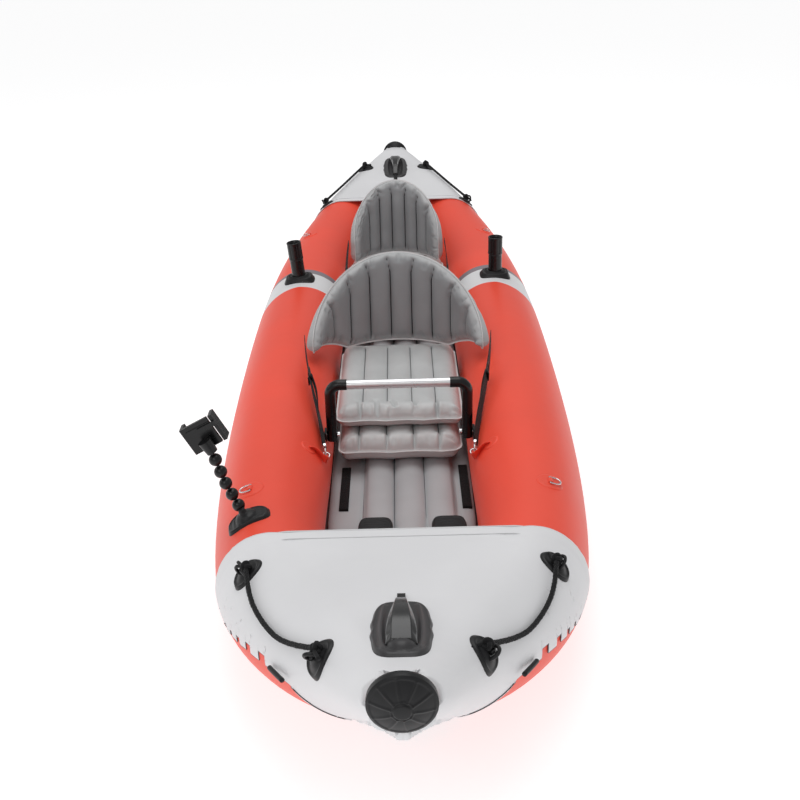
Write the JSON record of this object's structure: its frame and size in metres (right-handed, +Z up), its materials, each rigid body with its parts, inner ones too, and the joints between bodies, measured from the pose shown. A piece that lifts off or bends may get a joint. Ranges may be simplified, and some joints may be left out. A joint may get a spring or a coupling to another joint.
{
  "type": "inflatable kayak",
  "caption": "Two-seat inflatable kayak: two side air chambers, inflatable floor and seats, deck covers, carry handles, grab lines, rod holders, accessory bar and phone clamp arm.",
  "frame": {"origin": "on the surface the hull stands on, under the middle of its bounding box", "axes": "+Y towards the stern, +X to starboard side of the picture (right when looking from bow to stern), +Z up"},
  "size_m": [0.9402, 3.84, 0.5249],
  "materials": {
    "red_pvc": "coated fabric, satin",
    "grey_deck": "coated fabric, satin",
    "floor_grey": "coated fabric, satin",
    "seat_grey": "laminated fabric, soft sheen",
    "bottom_grey": "coated fabric",
    "black_rubber": "matte moulded",
    "rope_black": "braided",
    "webbing_black": "woven webbing",
    "black_plastic": "satin moulded",
    "aluminium_tube": "satin anodised",
    "steel_wire": "polished",
    "hook_loop": "hook-and-loop pile",
    "valve_grey": "satin moulded"
  },
  "bodies": {
    "hull": {"left_air_chamber": "red_pvc", "right_air_chamber": "red_pvc", "d_ring_patches": "red_pvc", "bow_deck_cover": "grey_deck", "stern_deck_cover": "grey_deck", "floor_insert": "floor_grey", "bottom_sheet": "bottom_grey", "bow_nose_cap": "black_rubber", "stern_nose_cap": "black_rubber", "bow_handle_base": "black_rubber", "bow_handle_grip": "black_rubber", "stern_handle_base": "black_rubber", "stern_handle_grip": "black_rubber", "bow_grab_patches": "black_rubber", "stern_grab_patches": "black_rubber", "left_rod_socket": "black_rubber", "right_rod_socket": "black_rubber", "foot_pads": "black_rubber", "phone_mount_plate": "black_rubber", "bow_left_grab_line": "rope_black", "bow_right_grab_line": "rope_black", "stern_left_grab_line": "rope_black", "stern_right_grab_line": "rope_black", "bar_pivot_bolts": "steel_wire", "snap_hooks": "steel_wire", "strap_anchors": "steel_wire", "bar_brackets": "black_plastic", "strap_buckles": "black_plastic", "fin_base": "black_plastic", "front_seat_booster": "seat_grey", "front_seat_pad": "seat_grey", "rear_seat_booster": "seat_grey", "rear_seat_pad": "seat_grey", "front_straps": "webbing_black", "rear_straps": "webbing_black", "hook_loop_strips": "hook_loop", "chamber_valves": "valve_grey", "floor_valve": "valve_grey"},
    "front_backrest": {"front_backrest": "seat_grey"},
    "rear_backrest": {"rear_backrest": "seat_grey"},
    "accessory_bar": {"accessory_bar": "aluminium_tube", "left_bar_elbow": "black_plastic", "right_bar_elbow": "black_plastic"},
    "left_rod_holder": {"left_rod_holder": "black_plastic"},
    "right_rod_holder": {"right_rod_holder": "black_plastic"},
    "left_valve_cap": {"left_valve_cap": "valve_grey"},
    "right_valve_cap": {"right_valve_cap": "valve_grey"},
    "floor_valve_cap": {"floor_valve_cap": "valve_grey"},
    "phone_clamp": {"phone_clamp_body": "black_plastic"},
    "phone_clamp_jaw": {"phone_clamp_jaw": "black_plastic"},
    "bow_left_d_ring": {"bow_left_d_ring": "steel_wire"},
    "bow_right_d_ring": {"bow_right_d_ring": "steel_wire"},
    "stern_left_d_ring": {"stern_left_d_ring": "steel_wire"},
    "stern_right_d_ring": {"stern_right_d_ring": "steel_wire"},
    "phone_arm_link_1": {"phone_arm_link_1": "black_plastic"},
    "phone_arm_link_2": {"phone_arm_link_2": "black_plastic"},
    "phone_arm_link_3": {"phone_arm_link_3": "black_plastic"},
    "phone_arm_link_4": {"phone_arm_link_4": "black_plastic"},
    "phone_arm_link_5": {"phone_arm_link_5": "black_plastic"}
  },
  "joints": [
    {"name": "front_backrest_recline", "type": "hinge", "parent": "hull", "child": "front_backrest", "pos_m": [0, -0.06, 0.232], "axis": [-1, 0, 0], "range_deg": [0, 30], "deforming": ["front_straps"]},
    {"name": "rear_backrest_recline", "type": "hinge", "parent": "hull", "child": "rear_backrest", "pos_m": [0, 0.8, 0.232], "axis": [-1, 0, 0], "range_deg": [0, 30], "deforming": ["rear_straps"]},
    {"name": "accessory_bar_tilt", "type": "hinge", "parent": "hull", "child": "accessory_bar", "pos_m": [0, -0.672, 0.216], "axis": [1, 0, 0], "range_deg": [-10, 60]},
    {"name": "left_rod_holder_lift", "type": "slide", "parent": "hull", "child": "left_rod_holder", "axis": [-0.0872, 0, 0.9962], "range_m": [0, 0.21]},
    {"name": "right_rod_holder_lift", "type": "slide", "parent": "hull", "child": "right_rod_holder", "axis": [0.0175, 0, 0.9998], "range_m": [0, 0.21]},
    {"name": "bow_left_d_ring_swing", "type": "hinge", "parent": "hull", "child": "bow_left_d_ring", "pos_m": [-0.3345, -1.066, 0.29361], "axis": [0, 1, 0], "range_deg": [0, 150]},
    {"name": "bow_right_d_ring_swing", "type": "hinge", "parent": "hull", "child": "bow_right_d_ring", "pos_m": [0.3345, -1.066, 0.29361], "axis": [0, -1, 0], "range_deg": [0, 150]},
    {"name": "stern_left_d_ring_swing", "type": "hinge", "parent": "hull", "child": "stern_left_d_ring", "pos_m": [-0.33663, 0.88, 0.28974], "axis": [0, 1, 0], "range_deg": [0, 150]},
    {"name": "stern_right_d_ring_swing", "type": "hinge", "parent": "hull", "child": "stern_right_d_ring", "pos_m": [0.33663, 0.88, 0.28974], "axis": [0, -1, 0], "range_deg": [0, 150]},
    {"name": "left_valve_cap_open", "type": "hinge", "parent": "hull", "child": "left_valve_cap", "pos_m": [-0.15645, 1.0795, 0.21806], "axis": [-0.425, 0, 0.9052], "range_deg": [0, 80]},
    {"name": "right_valve_cap_open", "type": "hinge", "parent": "hull", "child": "right_valve_cap", "pos_m": [0.15645, 1.0795, 0.21806], "axis": [-0.425, 0, -0.9052], "range_deg": [0, 80]},
    {"name": "floor_valve_cap_open", "type": "hinge", "parent": "hull", "child": "floor_valve_cap", "pos_m": [0.062, 1.0195, 0.09], "axis": [-1, 0, 0], "range_deg": [0, 80]},
    {"name": "phone_arm_joint_1", "type": "hinge", "parent": "hull", "child": "phone_arm_link_1", "pos_m": [-0.34098, -1.178, 0.30959], "axis": [0, 1, 0], "range_deg": [-15, 15]},
    {"name": "phone_arm_joint_2", "type": "hinge", "parent": "phone_arm_link_1", "child": "phone_arm_link_2", "pos_m": [-0.35198, -1.178, 0.33659], "axis": [-0.9261, 0, -0.3773], "range_deg": [-15, 15]},
    {"name": "phone_arm_joint_3", "type": "hinge", "parent": "phone_arm_link_2", "child": "phone_arm_link_3", "pos_m": [-0.36298, -1.178, 0.36359], "axis": [0, 1, 0], "range_deg": [-15, 15]},
    {"name": "phone_arm_joint_4", "type": "hinge", "parent": "phone_arm_link_3", "child": "phone_arm_link_4", "pos_m": [-0.3718, -1.178, 0.39131], "axis": [-0.9615, 0, -0.2747], "range_deg": [-15, 15]},
    {"name": "phone_arm_joint_5", "type": "hinge", "parent": "phone_arm_link_4", "child": "phone_arm_link_5", "pos_m": [-0.37987, -1.178, 0.42029], "axis": [0, 1, 0], "range_deg": [-15, 15]},
    {"name": "phone_clamp_tilt", "type": "hinge", "parent": "phone_arm_link_5", "child": "phone_clamp", "pos_m": [-0.38772, -1.178, 0.44873], "axis": [-0.964, 0, -0.2659], "range_deg": [-15, 15]},
    {"name": "phone_clamp_open", "type": "slide", "parent": "phone_clamp", "child": "phone_clamp_jaw", "axis": [0.8829, 0, 0.4695], "range_m": [0, 0.018]}
  ]
}
